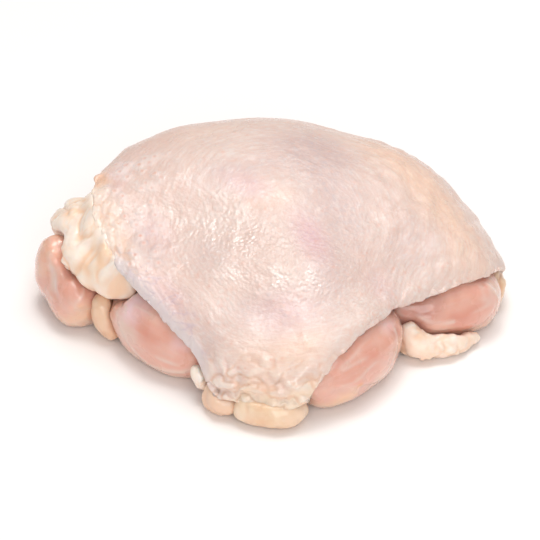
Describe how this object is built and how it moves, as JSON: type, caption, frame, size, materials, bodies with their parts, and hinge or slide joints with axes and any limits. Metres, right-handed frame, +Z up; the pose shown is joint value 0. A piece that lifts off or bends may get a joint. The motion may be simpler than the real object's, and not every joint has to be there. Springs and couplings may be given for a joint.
{
  "type": "raw chicken thigh",
  "caption": "Raw chicken thigh lying cut side down: a wet, wrinkled skin draped over pink muscles, with lumps of cream and yellow fat along its edges.",
  "frame": {"origin": "centre of the thigh's bounding box, at table level", "axes": "+X along the thigh's long way, +Y to its back, away from the hanging tongue of skin, +Z up from the table"},
  "size_m": [0.1256, 0.1044, 0.0392],
  "materials": {
    "muscle": "wet raw muscle, pink with pale streaks",
    "cream_fat": "wet cream-white fat, lumpy",
    "yellow_fat": "wet pale yellow fat",
    "skin": "wet raw skin, fine wrinkles and pores, satin with small highlights"
  },
  "bodies": {
    "root": {"muscle_bulk": "muscle", "muscle_left": "muscle", "muscle_front_left": "muscle", "muscle_front_right": "muscle", "muscle_right": "muscle", "muscle_back_left": "muscle", "fat_left": "cream_fat", "fat_sliver": "yellow_fat", "fat_front": "yellow_fat", "fat_fold": "cream_fat", "fat_tip": "cream_fat", "fat_right_strip": "cream_fat", "fat_right_edge": "yellow_fat", "skin": "skin"}
  },
  "joints": []
}
